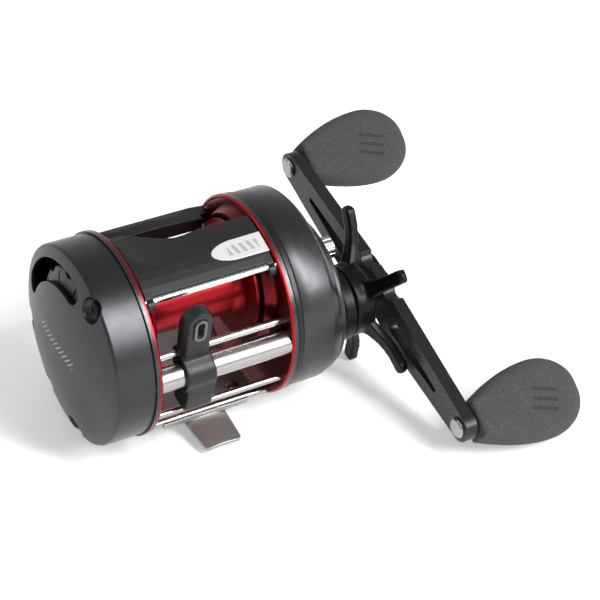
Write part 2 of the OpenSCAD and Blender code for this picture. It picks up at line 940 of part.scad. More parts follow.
module spring_washers() {
  base = drag_x + 2.9;
  color("#b0b0b0") {
    turned(drive_axis, [[drive_r, base + 0.6], [6.2, base], [6.2, base + 0.35], [drive_r, base + 0.95]]);
    turned(drive_axis, [[drive_r, base + 0.95], [6.2, base + 1.55], [6.2, base + 1.9], [drive_r, base + 1.3]]);
  }
}

module anti_reverse_bearing() {
  color("#8f9195")
    tube(6, drive_r + run, bearing_x - 6, bearing_x, drive_axis);
}

star_step = 72;
star_first = 127.3;
star_tip = 28.1;
star_half = 2.1;

// Middle of a star arm at radius r: the arms sweep outward like the side of a bowl
function star_rise(r) = 57 - 5.6 * pow(max(0, 22 - r) / 15, 1.7);

// Half width of a star arm at radius r
function star_width(r) = star_half + 3.2 * pow(max(0, 17 - r) / 11, 2);

module star_arm() {
  root = 6;
  half_t = 1.4;
  reach = star_tip - root;
  intersection() {
    // Plan of the arm
    linear_extrude(height = 60)
      polygon(concat(
        [for (j = [0:12]) [root + (reach - star_half) * j / 12, -star_width(root + (reach - star_half) * j / 12)]],
        [for (j = [-3:3]) [star_tip - star_half * (1 - cos(j * 22.5)), star_half * sin(j * 22.5)]],
        [for (j = [12:-1:0]) [root + (reach - star_half) * j / 12, star_width(root + (reach - star_half) * j / 12)]]
      ));
    // Side view of the arm
    translate([0, 10, 0])
      rotate([90, 0, 0])
        linear_extrude(height = 20)
          polygon(concat(
            [for (j = [0:12]) [root + (reach - half_t) * j / 12, star_rise(root + (reach - half_t) * j / 12) - half_t]],
            [for (j = [-3:3]) [star_tip - half_t * (1 - cos(j * 22.5)), 57 + half_t * sin(j * 22.5)]],
            [for (j = [12:-1:0]) [root + (reach - half_t) * j / 12, star_rise(root + (reach - half_t) * j / 12) + half_t]]
          ));
  }
}

module star_drag() {
  hub_r = 11.2;
  hub_x = housing_end + 0.4;
  color("#161617")
    difference() {
      union() {
        turned(drive_axis, [
          [0, hub_x], [hub_r - 0.4, hub_x], [hub_r, hub_x + 0.4], [hub_r, hub_x + 6],
          [hub_r - 0.5, hub_x + 6.6], [6, hub_x + 7.6], [0, hub_x + 7.6]
        ]);
        along_x(0, drive_axis)
          for (k = [0:4])
            rotate(star_first + k * star_step)
              star_arm();
      }
      rod(drive_r + run, 20, 80, drive_axis);
    }
}

knob_axes = [
  drive_axis + polar(knob_reach, arm_angle),
  drive_axis - polar(knob_reach, arm_angle)
];

module handle_arm() {
  color("#232325")
    along_x(arm_x, drive_axis)
      rotate(arm_angle)
        linear_extrude(height = arm_t)
          difference() {
            hull() {
              for (s = [-1, 1]) {
                translate([s * knob_reach, 0]) circle(r = 4.6);
                translate([s * 9, 0]) circle(r = 7.6);
              }
            }
            for (s = [-1, 1])
              hull() {
                translate([s * 14.5, 0]) circle(r = 2.6, $fn = 32);
                translate([s * 38.8, 0]) circle(r = 0.9, $fn = 32);
              }
            // Scallops beside the boss
            for (s = [-1, 1])
              for (side = [-1, 1])
                translate([s * 6.8, side * 8.7]) circle(r = 3.2, $fn = 32);
            for (s = [-1, 1])
              translate([s * knob_reach, 0]) circle(r = 2);
            intersection() {
              circle(r = 3.3);
              square([10, 5.2], center = true);
            }
          }
}

module handle_nut() {
  color("#cfcfd2")
    difference() {
      along_x(arm_out, drive_axis)
        rotate(arm_angle)
          cylinder(r = 4.9, h = 2.4, $fn = 6);
      rod(2.8, arm_out - 1, arm_out + 9, drive_axis);
    }
}

module nut_retainer() {
  color("#1b1b1d")
    along_x(arm_out, drive_axis)
      rotate(arm_angle)
        linear_extrude(height = 1)
          difference() {
            slot2d([0, 0], [7.4, 0], 5.6);
            circle(r = 5, $fn = 6);
          }
}

// Rivet heads inside, and the pins that the knobs turn on
module knob_spindles() {
  color("#cfcfd2")
    for (axis = knob_axes)
      turned(axis, [
        [0, arm_x - 1.1], [2.6, arm_x - 1.1], [3.15, arm_x - 0.6], [3.15, arm_x], [2, arm_x],
        [2, arm_x + knob_l - 8], [0, arm_x + knob_l - 8]
      ]);
}

knob_x = arm_out + 0.4;
paddle_x = knob_x + 1.6;
paddle_end = knob_x + knob_l;
knob_lean = 30;

module knob(axis) {
  along_x(0, axis)
    rotate(knob_lean)
      difference() {
        union() {
          translate([0, 0, knob_x])
            cylinder(r = 4.4, h = 3);
          // Paddle: a thin neck that widens to a broad round end
          hull() {
            translate([0, 0, paddle_x])
              scale([1, 0.78, 1])
                cylinder(r = 5.8, h = 1, $fn = 32);
            translate([0, 0, paddle_x + 4])
              scale([1, 0.66, 0.55])
                sphere(r = 8.5, $fn = 32);
            for (s = [-1, 1])
              translate([s * 1.3, 0, paddle_end - 13.5])
                scale([0.87, 0.38, 1])
                  sphere(r = 13.5, $fn = 32);
          }
        }
        translate([0, 0, knob_x - 1])
          cylinder(r = 2 + run, h = knob_l - 10.6);
      }
}

module back_knob() {
  color("#5b5a5b")
    knob(knob_axes[0]);
}

module front_knob() {
  color("#5b5a5b")
    knob(knob_axes[1]);
}

// ---- level wind ----

module wind_drive_gear() {
  color("#e3e0d6")
    along_x(wind_x, drive_axis)
      linear_extrude(height = wind_t)
        difference() {
          gear_outline(wind_module, wind_drive_teeth, wind_phase);
          circle(r = 3.5);
        }
}

module wind_idler() {
  color("#e3e0d6")
    along_x(wind_x, idler_axis)
      linear_extrude(height = wind_t)
        difference() {
          gear_outline(wind_module, idler_teeth, idler_phase);
          circle(r = 1.2 + run);
        }
}

module worm_gear() {
  color("#e3e0d6")
    along_x(wind_x, worm_axis)
      linear_extrude(height = wind_t)
        difference() {
          gear_outline(wind_module, worm_teeth, worm_phase);
          circle(r = 1.1);
        }
}

// Worm with two crossing tracks, cut as rings tilted both ways
module worm_shaft() {
  color("#c9a24a")
    difference() {
      union() {
        rod(2.5, -18.6, 18.6, worm_axis);
        rod(1.1, -22.4, wind_x + wind_t, worm_axis);
      }
      for (x = [-15:6:15])
        for (tilt = [-20, 20])
          translate([x, worm_axis[0], centre_z + worm_axis[1]])
            rotate([0, 90 + tilt, 0])
              difference() {
                cylinder(r = 6, h = 1.1, center = true);
                cylinder(r = 1.85, h = 2, center = true);
              }
    }
}

guide_x = -9;
guide_w = 9.4;
eye_at = [guide_x, -26.9, 20.5];
eye_half = 1.9;
eye_r = 2;

module line_guide() {
  color("#17171a")
    difference() {
      union() {
        // Clamp round the worm tube and the guide bar
        along_x(guide_x - guide_w / 2)
          linear_extrude(height = guide_w)
            hull() {
              translate(worm_axis) circle(r = 5.1, $fn = 48);
              translate(guide_axis) circle(r = 2.3, $fn = 32);
            }
        guide_tower();
        guide_leg();
      }
      rod(3.75 + 0.06, -60, 60, worm_axis);
      rod(1.25 + 0.06, -60, 60, guide_axis);
      translate([guide_x, eye_at[1] - 8, centre_z + eye_at[2]])
        rotate([-90, 0, 0])
          linear_extrude(height = 16)
            slot2d([0, -eye_half], [0, eye_half], eye_r);
      translate([guide_x, worm_axis[0], centre_z + worm_axis[1] - 14]) {
        cylinder(r = 1.25, h = 12);
        cylinder(r = 2.25, h = 2.6);
      }
    }
}

// Upright plate that carries the eye, with a round top and a bevelled front
module guide_tower() {
  hull()
    for (side = [[-22.6, guide_w / 2, 2.6], [-25, guide_w / 2, 2.6], [-27, guide_w / 2 - 1.2, 1.2]])
      translate([guide_x, side[0], centre_z + 8])
        rotate([90, 0, 0])
          linear_extrude(height = 0.1)
            hull() {
              translate([0, 18.7 - side[1]]) circle(r = side[1], $fn = 32);
              translate([-side[1], 0]) square([2 * side[1], 2]);
            }
}

// Block under the tube that holds the pawl
module guide_leg() {
  along_x(guide_x - 4.2)
    linear_extrude(height = 8.4)
      polygon([
        [-31.3, 5], [-31.2, -2.5], [-30.8, -6.4], [-29.6, -7.9], [-24, -7.4], [-23.4, -6.6], [-23.4, 3]
      ]);
}

module guide_eye() {
  color("#b7bac0")
    translate([guide_x, -27.5, centre_z + eye_at[2]])
      rotate([-90, 0, 0])
        linear_extrude(height = 5)
          difference() {
            slot2d([0, -eye_half], [0, eye_half], eye_r - e);
            slot2d([0, -eye_half], [0, eye_half], 1.1);
          }
}

module wind_pawl() {
  color("#c9a24a")
    translate([guide_x, worm_axis[0], centre_z + worm_axis[1] - 8])
      union() {
        cylinder(r = 1.2, h = 5);
        translate([0, 0, 4.9])
          cylinder(r = 0.45, h = 0.5);
      }
}

module pawl_cap() {
  color("#8f9195")
    translate([guide_x, worm_axis[0], centre_z + worm_axis[1] - 12.2])
      difference() {
        union() {
          cylinder(r = 2.2, h = 0.8);
          translate([0, 0, 0.7])
            cylinder(r = 1.2, h = 3.4);
        }
        cube([5, 0.5, 0.6], center = true);
      }
}

left_ring();
right_ring();
gear_plate();
palm_plate();
gear_cover();
palm_plate_screws();
cover_screws();
bearing_housing();
guide_bar();
worm_tube();
tube_bush();
front_bar();
foot_bars();
rear_bar();
hood_bar();
reel_foot();
foot_rivets();
thumb_rest();
badge();
thumb_bar();
spool();
spool_shaft();
drive_pin();
brake_rotor();
spool_bearings();
brake_dial();
magnet_carrier();
brake_magnets();
tension_knob();
tension_shim();
pinion();
pinion_bearing();
clutch_yoke();
clutch_springs();
clutch_cam();
drive_shaft();
ratchet_wheel();
main_gear();
drag_washers();
drag_plate();
spring_washers();
anti_reverse_bearing();
star_drag();
handle_arm();
handle_nut();
nut_retainer();
knob_spindles();
back_knob();
front_knob();
wind_drive_gear();
wind_idler();
worm_gear();
worm_shaft();
line_guide();
guide_eye();
wind_pawl();
pawl_cap();
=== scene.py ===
"""Looks of a round baitcasting reel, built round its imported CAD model.

The CAD pieces keep their place and size. This script gives them their materials, rounds the
moulded ones, models the foam grips anew, and adds the floor, the light and the camera.
"""

import json
import math

import bmesh
import bpy
from mathutils import Matrix, Vector


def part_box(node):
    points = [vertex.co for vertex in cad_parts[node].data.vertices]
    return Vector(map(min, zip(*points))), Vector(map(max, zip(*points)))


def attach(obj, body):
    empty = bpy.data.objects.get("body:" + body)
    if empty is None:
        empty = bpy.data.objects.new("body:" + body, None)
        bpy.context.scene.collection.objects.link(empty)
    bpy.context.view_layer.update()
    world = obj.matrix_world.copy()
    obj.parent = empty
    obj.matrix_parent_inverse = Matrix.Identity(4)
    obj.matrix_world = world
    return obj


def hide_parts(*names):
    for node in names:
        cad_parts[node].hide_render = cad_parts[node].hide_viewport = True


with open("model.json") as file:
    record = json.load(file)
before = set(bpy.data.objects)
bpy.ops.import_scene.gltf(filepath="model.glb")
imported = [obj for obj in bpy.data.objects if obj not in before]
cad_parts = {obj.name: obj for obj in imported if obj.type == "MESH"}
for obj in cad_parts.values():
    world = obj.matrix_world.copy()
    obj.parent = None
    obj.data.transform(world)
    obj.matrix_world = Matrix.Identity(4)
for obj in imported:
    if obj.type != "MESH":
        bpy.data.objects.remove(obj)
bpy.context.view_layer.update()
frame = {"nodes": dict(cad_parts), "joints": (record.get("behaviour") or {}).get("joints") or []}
nodes = frame["nodes"]

MM = 0.001
TO_MM = 1000.0
RING_AXIS = (0.0, 0.025)  # y and z of the line that the side plates are round about
joint_places = {joint["name"]: joint["pos_m"] for joint in frame["joints"] if "pos_m" in joint}
SPOOL_AXIS = tuple(joint_places["spool_spin"][1:])
DRIVE_AXIS = tuple(joint_places["handle_turn"][1:])


# ---- building blocks for node materials ----


def new_look(name):
    """A new material, with its node tree and its shader."""
    material = bpy.data.materials.new(name)
    material.use_nodes = True
    tree = material.node_tree
    return material, tree, tree.nodes["Principled BSDF"]


def node(tree, kind, inputs=(), **settings):
    """Adds a node. inputs maps an input's name or number to a value or to an output socket."""
    made = tree.nodes.new("ShaderNode" + kind)
    for key, value in settings.items():
        setattr(made, key, value)
    for key, value in dict(inputs).items():
        if isinstance(value, bpy.types.NodeSocket):
            tree.links.new(value, made.inputs[key])
        else:
            made.inputs[key].default_value = value
    return made


def calc(tree, operation, a, b=0.0, c=0.0):
    return node(tree, "Math", {0: a, 1: b, 2: c}, operation=operation).outputs[0]


def place(tree):
    """Position on the object at rest, in metres."""
    return node(tree, "TexCoord").outputs["Object"]


def stretched(tree, scale):
    return node(tree, "VectorMath", {0: place(tree), 1: scale}, operation="MULTIPLY").outputs[0]


def round_about(tree, axis):
    """Position as (x, distance from an axis along X, 0): the same all the way round a turned piece."""
    parts = node(tree, "SeparateXYZ", {0: place(tree)})
    y = calc(tree, "SUBTRACT", parts.outputs[1], axis[0])
    z = calc(tree, "SUBTRACT", parts.outputs[2], axis[1])
    squares = calc(tree, "ADD", calc(tree, "MULTIPLY", y, y), calc(tree, "MULTIPLY", z, z))
    distance = calc(tree, "SQRT", squares)
    return node(tree, "CombineXYZ", {0: parts.outputs[0], 1: distance, 2: 0.0}).outputs[0]


def noise(tree, vector, scale, detail=3.0, roughness=0.55):
    return node(
        tree, "TexNoise", {"Vector": vector, "Scale": scale, "Detail": detail, "Roughness": roughness}
    ).outputs["Fac"]


def spread(tree, value, low, high, start=0.3, end=0.7):
    """Maps start..end of a noise to low..high."""
    return node(
        tree, "MapRange", {"Value": value, "From Min": start, "From Max": end, "To Min": low, "To Max": high}
    ).outputs[0]


def blend_colour(tree, factor, first, second):
    made = node(tree, "Mix", data_type="RGBA")
    for index, value in ((0, factor), (6, first), (7, second)):
        if isinstance(value, bpy.types.NodeSocket):
            tree.links.new(value, made.inputs[index])
        else:
            made.inputs[index].default_value = value
    return made.outputs[2]


def shade(colour, factor):
    return tuple(min(1.0, channel * factor) for channel in colour) + (1.0,)


def rounded_normal(tree, radius):
    return node(tree, "Bevel", {"Radius": radius}, samples=6).outputs[0]


def look(
    name,
    colour,
    metallic=0.0,
    roughness=0.4,
    tint=0.1,
    tint_scale=90.0,
    rough_spread=0.08,
    rough_scale=400.0,
    marks="grain",
    mark_scale=3000.0,
    mark_depth=0.00001,
    edge=0.0002,
    axis=RING_AXIS,
    edge_highlight_and_wear=0.0,
    specular=0.5,
):
    """A material with uneven colour and gloss, fine surface marks, softened edges and, where asked, edges
    lightened by a painted highlight that also stands for wear.
    """
    material, tree, shader = new_look(name)
    body = place(tree)
    if marks == "turned":
        fine = noise(tree, round_about(tree, axis), mark_scale, 2.0, 0.7)
    elif marks == "drawn":
        fine = noise(tree, stretched(tree, (0.02, 1.0, 1.0)), mark_scale, 2.0, 0.7)
    else:
        fine = noise(tree, body, mark_scale, 2.0, 0.6)
    patches = noise(tree, body, tint_scale)
    colour_out = blend_colour(
        tree, spread(tree, patches, 0.0, 1.0), shade(colour, 1 - tint), shade(colour, 1 + tint)
    )
    if edge > 0:
        soft = rounded_normal(tree, edge)
    # Painted highlight along the edges, also standing for wear: the colour is lightened where the rounded
    # normal turns away from the flat one
    if edge_highlight_and_wear > 0:
        flat = node(tree, "NewGeometry").outputs["Normal"]
        dot = node(tree, "VectorMath", {0: soft, 1: flat}, operation="DOT_PRODUCT").outputs["Value"]
        meeting = calc(tree, "ADD", dot, calc(tree, "MULTIPLY", patches, 0.06))
        edge_lightening = spread(tree, meeting, 1.0, 0.0, 0.93, 1.01)
        colour_out = blend_colour(
            tree, calc(tree, "MULTIPLY", edge_lightening, edge_highlight_and_wear), colour_out, shade(colour, 2.6)
        )
    tree.links.new(colour_out, shader.inputs["Base Color"])
    gloss = noise(tree, body, rough_scale)
    gloss = calc(tree, "ADD", calc(tree, "MULTIPLY", gloss, 0.6), calc(tree, "MULTIPLY", fine, 0.4))
    tree.links.new(
        spread(tree, gloss, roughness - rough_spread, roughness + rough_spread), shader.inputs["Roughness"]
    )
    shader.inputs["Metallic"].default_value = metallic
    shader.inputs["Specular IOR Level"].default_value = specular
    bumps = {"Height": fine, "Strength": 1.0, "Distance": mark_depth}
    if edge > 0:
        bumps["Normal"] = soft
    tree.links.new(node(tree, "Bump", bumps).outputs[0], shader.inputs["Normal"])
    return material


def wear(material, *names):
    for name in names:
        mesh = nodes[name].data
        mesh.materials.clear()
        mesh.materials.append(material)


def retint(material, factor_for, colour):
    """Blends a colour over a material where factor_for(tree) gives a factor from 0 to 1."""
    tree = material.node_tree
    base = tree.nodes["Principled BSDF"].inputs["Base Color"]
    before = base.links[0].from_socket
    tree.links.new(blend_colour(tree, factor_for(tree), before, (*colour, 1.0)), base)


def emboss(material, factor_for, height):
    """Raises a material's surface by height where factor_for(tree) is 1."""
    tree = material.node_tree
    normal = tree.nodes["Principled BSDF"].inputs["Normal"]
    before = normal.links[0].from_socket
    bump = node(
        tree, "Bump", {"Height": factor_for(tree), "Strength": 1.0, "Distance": height, "Normal": before}
    )
    tree.links.new(bump.outputs[0], normal)


def flat_axes(tree, first, second, origin):
    """Distance along two directions from an origin, in millimetres."""
    offset = node(tree, "VectorMath", {0: place(tree), 1: origin}, operation="SUBTRACT").outputs[0]
    dots = [node(tree, "VectorMath", {0: offset, 1: way}, operation="DOT_PRODUCT") for way in (first, second)]
    return [calc(tree, "MULTIPLY", dot.outputs["Value"], TO_MM) for dot in dots]


def within(tree, value, middle, half, soft=0.05):
    """1 where value is within half of middle, with a soft edge."""
    away = calc(tree, "ABSOLUTE", calc(tree, "SUBTRACT", value, middle))
    return spread(tree, away, 1.0, 0.0, half - soft, half + soft)


STROKE_EDGE = 0.04


def strokes(tree, along, across, slant, pitch, half_width, half_length, half_height):
    """A row of parallel strokes centred on the origin of along and across, in millimetres."""
    leaning = calc(tree, "ADD", along, calc(tree, "MULTIPLY", across, slant))
    step = calc(tree, "PINGPONG", leaning, pitch / 2)
    mask = spread(tree, step, 1.0, 0.0, half_width - STROKE_EDGE, half_width + STROKE_EDGE)
    mask = calc(tree, "MULTIPLY", mask, within(tree, along, 0.0, half_length))
    return calc(tree, "MULTIPLY", mask, within(tree, across, 0.0, half_height))


def distance_from(tree, axis):
    """Distance from an axis along X, in millimetres."""
    parts = node(tree, "SeparateXYZ", {0: round_about(tree, axis)})
    return calc(tree, "MULTIPLY", parts.outputs[1], TO_MM)


def distance_along(tree):
    """Distance along X from the origin, in millimetres and without its sign."""
    parts = node(tree, "SeparateXYZ", {0: place(tree)})
    return calc(tree, "MULTIPLY", calc(tree, "ABSOLUTE", parts.outputs[0]), TO_MM)


# ---- building blocks for meshes ----


SHARP_ANGLE = math.radians(32)


def skin(name, rings, material):
    """A smooth piece from rings of points, each joined to the next, and its ends closed."""
    mesh = bpy.data.meshes.new(name)
    bm = bmesh.new()
    rows = [[bm.verts.new(point) for point in ring] for ring in rings]
    for low, high in zip(rows, rows[1:]):
        for i in range(len(low)):
            j = (i + 1) % len(low)
            bm.faces.new((low[i], low[j], high[j], high[i]))
    bm.faces.new(rows[-1])
    bm.faces.new(list(reversed(rows[0])))
    bmesh.ops.recalc_face_normals(bm, faces=bm.faces)
    if bm.calc_volume(signed=True) < 0:
        bmesh.ops.reverse_faces(bm, faces=bm.faces)
    for face in bm.faces:
        face.smooth = True
    bm.to_mesh(mesh)
    bm.free()
    mesh.set_sharp_from_angle(angle=SHARP_ANGLE)
    if material:
        mesh.materials.append(material)
    piece = bpy.data.objects.new(name, mesh)
    bpy.context.scene.collection.objects.link(piece)
    return piece


def circle(x, radius, axis, count=128):
    """Points of a circle about an axis along X, in metres from millimetres."""
    return [
        (
            x * MM,
            axis[0] + radius * MM * math.cos(2 * math.pi * k / count),
            axis[1] + radius * MM * math.sin(2 * math.pi * k / count),
        )
        for k in range(count)
    ]


def carve(piece, bores):
    """Cuts cylinders along X out of a piece: each is (axis, radius, x0, x1)."""
    cutters = []
    for number, (axis, radius, x0, x1) in enumerate(bores):
        cutter = skin(f"cutter_{number}", [circle(x0, radius, axis, 64), circle(x1, radius, axis, 64)], None)
        cut = piece.modifiers.new(cutter.name, "BOOLEAN")
        cut.object = cutter
        cut.solver = "EXACT"
        cutters.append(cutter)
    bake(piece)
    for cutter in cutters:
        bpy.data.objects.remove(cutter)


def bake(piece):
    """Applies a piece's modifiers to its mesh."""
    seen = piece.evaluated_get(bpy.context.evaluated_depsgraph_get())
    mesh = bpy.data.meshes.new_from_object(seen)
    piece.modifiers.clear()
    piece.data = mesh
    mesh.set_sharp_from_angle(angle=SHARP_ANGLE)


def soften(name, voxel, passes):
    """Rounds the edges of a moulded CAD node with modifiers."""
    remesh = nodes[name].modifiers.new("soft_skin", "REMESH")
    remesh.mode = "VOXEL"
    remesh.voxel_size = voxel
    remesh.use_smooth_shade = True
    smooth = nodes[name].modifiers.new("soft_edges", "SMOOTH")
    smooth.factor = 0.5
    smooth.iterations = passes


# ---- camera, floor and light ----

CAMERA_TILT = math.radians(-13.5)
CAMERA_AZIMUTH = math.radians(-30.56)
CAMERA_ELEVATION = math.radians(31.35)
CAMERA_FAR = 0.5704
CAMERA_AIM = Vector((0.0273, -0.0215, 0.0392))
LENS = 117.57


def add_camera():
    data = bpy.data.cameras.new("camera")
    data.lens = LENS
    data.sensor_width = 36
    camera = bpy.data.objects.new("camera", data)
    bpy.context.scene.collection.objects.link(camera)
    turn = (
        Matrix.Rotation(CAMERA_TILT, 4, "X")
        @ Matrix.Rotation(CAMERA_AZIMUTH, 4, "Z")
        @ Matrix.Rotation(math.pi / 2 - CAMERA_ELEVATION, 4, "X")
    )
    back = turn @ Vector((0, 0, 1))
    camera.matrix_world = Matrix.Translation(CAMERA_AIM + back * CAMERA_FAR) @ turn
    bpy.context.scene.camera = camera


FLOOR_TILT = math.radians(-8)
FLOOR_DROP = 0.0311
FLOOR_UP = Matrix.Rotation(FLOOR_TILT, 4, "X") @ Vector((0, 0, 1))
FLOOR_MIDDLE = Vector((0, *RING_AXIS)) - FLOOR_UP * FLOOR_DROP


FLOOR_SIDE = 6


def add_floor():
    bpy.ops.mesh.primitive_plane_add(size=FLOOR_SIDE)
    floor = bpy.context.object
    floor.name = "floor"
    floor.matrix_world = Matrix.Translation(FLOOR_MIDDLE) @ Matrix.Rotation(FLOOR_TILT, 4, "X")
    material, tree, shader = new_look("floor_white")
    shader.inputs["Base Color"].default_value = (0.93, 0.93, 0.935, 1)
    shader.inputs["Roughness"].default_value = 0.85
    shader.inputs["Emission Color"].default_value = (1, 1, 1, 1)
    shader.inputs["Emission Strength"].default_value = 0.27
    floor.data.materials.append(material)


LIGHT_AIM = Vector((0.0, -0.01, 0.03))


def add_softbox(name, direction, far, size, radiance):
    """A rectangular area lamp at a direction and distance from the reel, turned to face it."""
    data = bpy.data.lights.new(name, "AREA")
    data.shape = "RECTANGLE"
    data.size, data.size_y = size
    data.energy = radiance * math.pi * size[0] * size[1]
    lamp = bpy.data.objects.new(name, data)
    bpy.context.scene.collection.objects.link(lamp)
    lamp.location = LIGHT_AIM + Vector(direction).normalized() * far
    lamp.rotation_euler = (LIGHT_AIM - lamp.location).to_track_quat("-Z", "X").to_euler()


HORIZON_LIGHT = 0.82
ZENITH_LIGHT = 0.4


def add_world():
    """A plain white sky, dimmer overhead."""
    world = bpy.data.worlds.new("studio")
    bpy.context.scene.world = world
    world.use_nodes = True
    tree = world.node_tree
    direction = node(tree, "TexCoord").outputs["Generated"]
    height = node(tree, "SeparateXYZ", {0: direction}).outputs[2]
    strength = spread(tree, height, HORIZON_LIGHT, ZENITH_LIGHT, 0.0, 0.8)
    background = tree.nodes["Background"]
    background.inputs["Color"].default_value = (1, 1, 1, 1)
    tree.links.new(strength, background.inputs["Strength"])


add_camera()
add_floor()
add_world()
add_softbox("key", (0.38, -0.56, 0.74), far=0.9, size=(0.68, 0.18), radiance=26.0)
add_softbox("rim", (-0.75, 0.5, 0.45), far=1.0, size=(0.5, 0.3), radiance=1.6)
bpy.context.scene.view_settings.view_transform = "Standard"

# ---- materials ----

# Where these looks lighten their edges, that is a painted highlight along the edges which also stands for
# wear
gunmetal = look(
    "gunmetal", (0.048, 0.048, 0.052), metallic=0.9, roughness=0.34, tint=0.04, rough_spread=0.03,
    mark_scale=3600, mark_depth=0.000001, edge=0.0006, edge_highlight_and_wear=0.2,
)
cover_metal = look(
    "cover_metal", (0.055, 0.055, 0.059), metallic=0.9, roughness=0.33, tint=0.05, rough_spread=0.05,
    marks="turned", mark_scale=2600, mark_depth=0.000004, edge=0.0003,
)
red_anodised = look(
    "red_anodised", (0.3, 0.012, 0.015), metallic=0.85, roughness=0.3, tint=0.08,
    marks="turned", mark_scale=2400, mark_depth=0.000004, edge=0.00015,
)
red_spool = look(
    "red_spool", (0.36, 0.011, 0.017), metallic=0.88, roughness=0.33, tint=0.03, rough_spread=0.02,
    marks="turned", mark_scale=1400, mark_depth=0.0000006, edge=0.00015, axis=SPOOL_AXIS,
)
plate_black = look(
    "plate_black", (0.012, 0.012, 0.013), metallic=0.5, roughness=0.36,
    marks="turned", mark_scale=2200, mark_depth=0.000004, edge=0.0003, edge_highlight_and_wear=0.5,
)
satin_black = look(
    "satin_black", (0.0035, 0.0035, 0.004), roughness=0.34, tint=0.15, mark_depth=0.000003, edge=0.0004,
    specular=0.17,
)
moulded_black = look(
    "moulded_black", (0.011, 0.011, 0.012), roughness=0.4, tint=0.15, mark_depth=0.000008,
    mark_scale=3400, edge=0.0005, specular=0.35,
)
stainless = look(
    "stainless", (0.38, 0.372, 0.362), metallic=1.0, roughness=0.26, tint=0.03, rough_spread=0.02,
    marks="drawn", mark_scale=3500, mark_depth=0.0000004, edge=0.00012,
)
foot_steel = look(
    "foot_steel", (0.33, 0.325, 0.32), metallic=0.7, roughness=0.42, tint=0.06, rough_spread=0.06,
    mark_scale=2500, mark_depth=0.000003, edge=0.0004, edge_highlight_and_wear=0.6,
)
chrome = look(
    "chrome", (0.72, 0.72, 0.73), metallic=1.0, roughness=0.13, tint=0.04, rough_spread=0.04,
    mark_depth=0.000003, edge=0.00015,
)
knob_chrome = look(
    "knob_chrome", (0.4, 0.4, 0.41), metallic=1.0, roughness=0.34, tint=0.04, rough_spread=0.04,
    mark_depth=0.000003, edge=0.00015,
)
rivet_steel = look(
    "rivet_steel", (0.33, 0.33, 0.335), metallic=1.0, roughness=0.25, tint=0.05, mark_depth=0.000004,
    edge=0.0003,
)
badge_silver = look(
    "badge_silver", (0.8, 0.8, 0.81), metallic=0.5, roughness=0.3, tint=0.03, rough_spread=0.04,
    mark_scale=1800, mark_depth=0.000002, edge=0.0002,
)
brass = look("brass", (0.72, 0.48, 0.16), metallic=1.0, roughness=0.3, tint=0.08, edge=0.00008)
nylon = look("nylon", (0.72, 0.70, 0.62), roughness=0.5, tint=0.04, edge=0.0001)
fibre = look("fibre", (0.05, 0.045, 0.04), roughness=0.75, tint=0.3, tint_scale=900, edge=0.0)
magnet = look("magnet", (0.3, 0.3, 0.31), metallic=0.9, roughness=0.35, edge=0.0001)
ceramic = look("ceramic", (0.12, 0.12, 0.125), metallic=0.6, roughness=0.2, tint=0.05, edge=0.0003)
carbon = look(
    "carbon", (0.009, 0.009, 0.0095), roughness=0.32, tint=0.1, rough_spread=0.04, mark_depth=0.000003,
    edge=0.0004, specular=0.35,
)
foam = look(
    "foam", (0.05, 0.048, 0.047), roughness=0.93, tint=0.32, tint_scale=1900, rough_spread=0.04,
    mark_scale=2600, mark_depth=0.00006, edge=0.0,
)

# The side rings are bright red only on a narrow line at the rim. Their faces lie in shade and are darkened
# to a deep red as painted shade, and the rest of the rim is as grey as the covers.
RIM_R = 30.2
RED_LINE_TO = 21.88


# Painted shade: darkens the faces of the side rings, inside the rim, towards a deep red
def ring_face_shade(tree):
    return spread(tree, distance_from(tree, RING_AXIS), 0.75, 0.0, RIM_R - 0.3, RIM_R)


def grey_rim(tree):
    outer = spread(tree, distance_from(tree, RING_AXIS), 0.0, 1.0, RIM_R, RIM_R + 0.1)
    past_line = spread(tree, distance_along(tree), 0.0, 1.0, RED_LINE_TO, RED_LINE_TO + 0.1)
    return calc(tree, "MULTIPLY", past_line, outer)


# Painted shade on the ring faces, in a deep red
retint(red_anodised, ring_face_shade, (0.09, 0.006, 0.008))
retint(red_anodised, grey_rim, (0.058, 0.058, 0.062))

# A row of thin slanted strokes on the palm plate
DOME_X = -0.0401
PALM_MARK = (0, 0.0005, 0.0272)


def palm_strokes(tree):
    along, across = flat_axes(tree, (0, -1, 0), (0, 0, 1), PALM_MARK)
    lines = strokes(
        tree, along, across, slant=-0.9, pitch=1.9, half_width=0.2, half_length=10.6, half_height=1.5
    )
    depth = node(tree, "SeparateXYZ", {0: place(tree)}).outputs[0]
    outside = spread(tree, depth, 1.0, 0.0, DOME_X + 0.0008, DOME_X + 0.0009)
    return calc(tree, "MULTIPLY", calc(tree, "MULTIPLY", lines, outside), 0.75)


retint(gunmetal, palm_strokes, (0.5, 0.52, 0.55))

# The palm plate's dome shines as one even curve
DOME_R = 0.0925
DOME_CENTRE = (DOME_X + DOME_R, *RING_AXIS)


